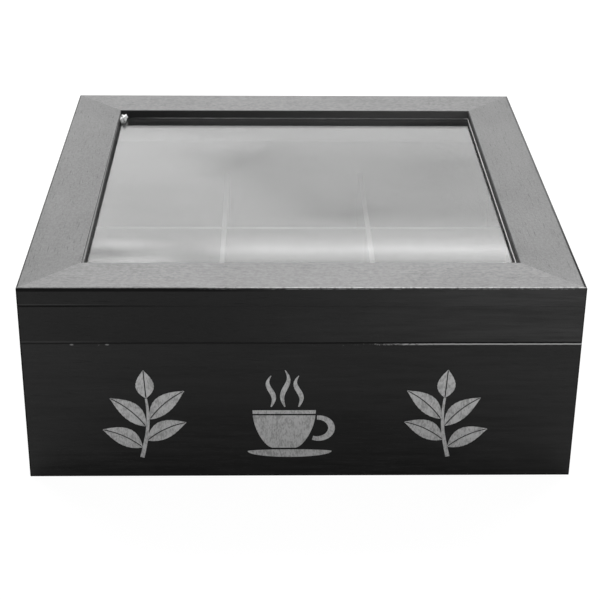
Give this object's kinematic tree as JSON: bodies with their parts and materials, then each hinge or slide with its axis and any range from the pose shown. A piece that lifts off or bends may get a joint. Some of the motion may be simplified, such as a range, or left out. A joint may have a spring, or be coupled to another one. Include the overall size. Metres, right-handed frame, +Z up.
{
  "type": "tea bag organizer box",
  "caption": "Low square painted wooden box with a grid of compartments and a back-hinged lid that has a glass window in a mitred frame.",
  "frame": {"origin": "centre of the underside, on the plane that the box stands on", "axes": "+Z up out of the box, -Y out of the front, +Y towards the hinges, +X to the right as seen from the front"},
  "size_m": [0.24, 0.2453, 0.0935],
  "materials": {
    "painted_wood": "satin black paint that shows a little of the grain",
    "inner_board": "matte black paint",
    "bottom_board": "thin matte black paint on board",
    "window_glass": "clear float glass",
    "silver_metal": "nickel plate, softly brushed"
  },
  "bodies": {
    "box": {"front_wall": "painted_wood", "back_wall": "painted_wood", "left_wall": "painted_wood", "right_wall": "painted_wood", "bottom_panel": "bottom_board", "bottom_brads": "silver_metal", "front_divider": "inner_board", "rear_divider": "inner_board", "left_divider": "inner_board", "right_divider": "inner_board", "left_hinge_box_leaf": "silver_metal", "right_hinge_box_leaf": "silver_metal", "left_hinge_pin": "silver_metal", "right_hinge_pin": "silver_metal", "hinge_box_screws": "silver_metal"},
    "lid": {"lid_front_wall": "painted_wood", "lid_back_wall": "painted_wood", "lid_left_wall": "painted_wood", "lid_right_wall": "painted_wood", "frame_front_rail": "painted_wood", "frame_back_rail": "painted_wood", "frame_left_stile": "painted_wood", "frame_right_stile": "painted_wood", "window_glass": "window_glass", "front_glazing_bead": "painted_wood", "back_glazing_bead": "painted_wood", "left_glazing_bead": "painted_wood", "right_glazing_bead": "painted_wood", "left_hinge_lid_leaf": "silver_metal", "right_hinge_lid_leaf": "silver_metal", "hinge_lid_screws": "silver_metal"}
  },
  "joints": [
    {"name": "lid_hinge", "type": "hinge", "parent": "box", "child": "lid", "pos_m": [0, 0.1225, 0.0675], "axis": [-1, 0, 0], "range_deg": [0, 95]}
  ]
}
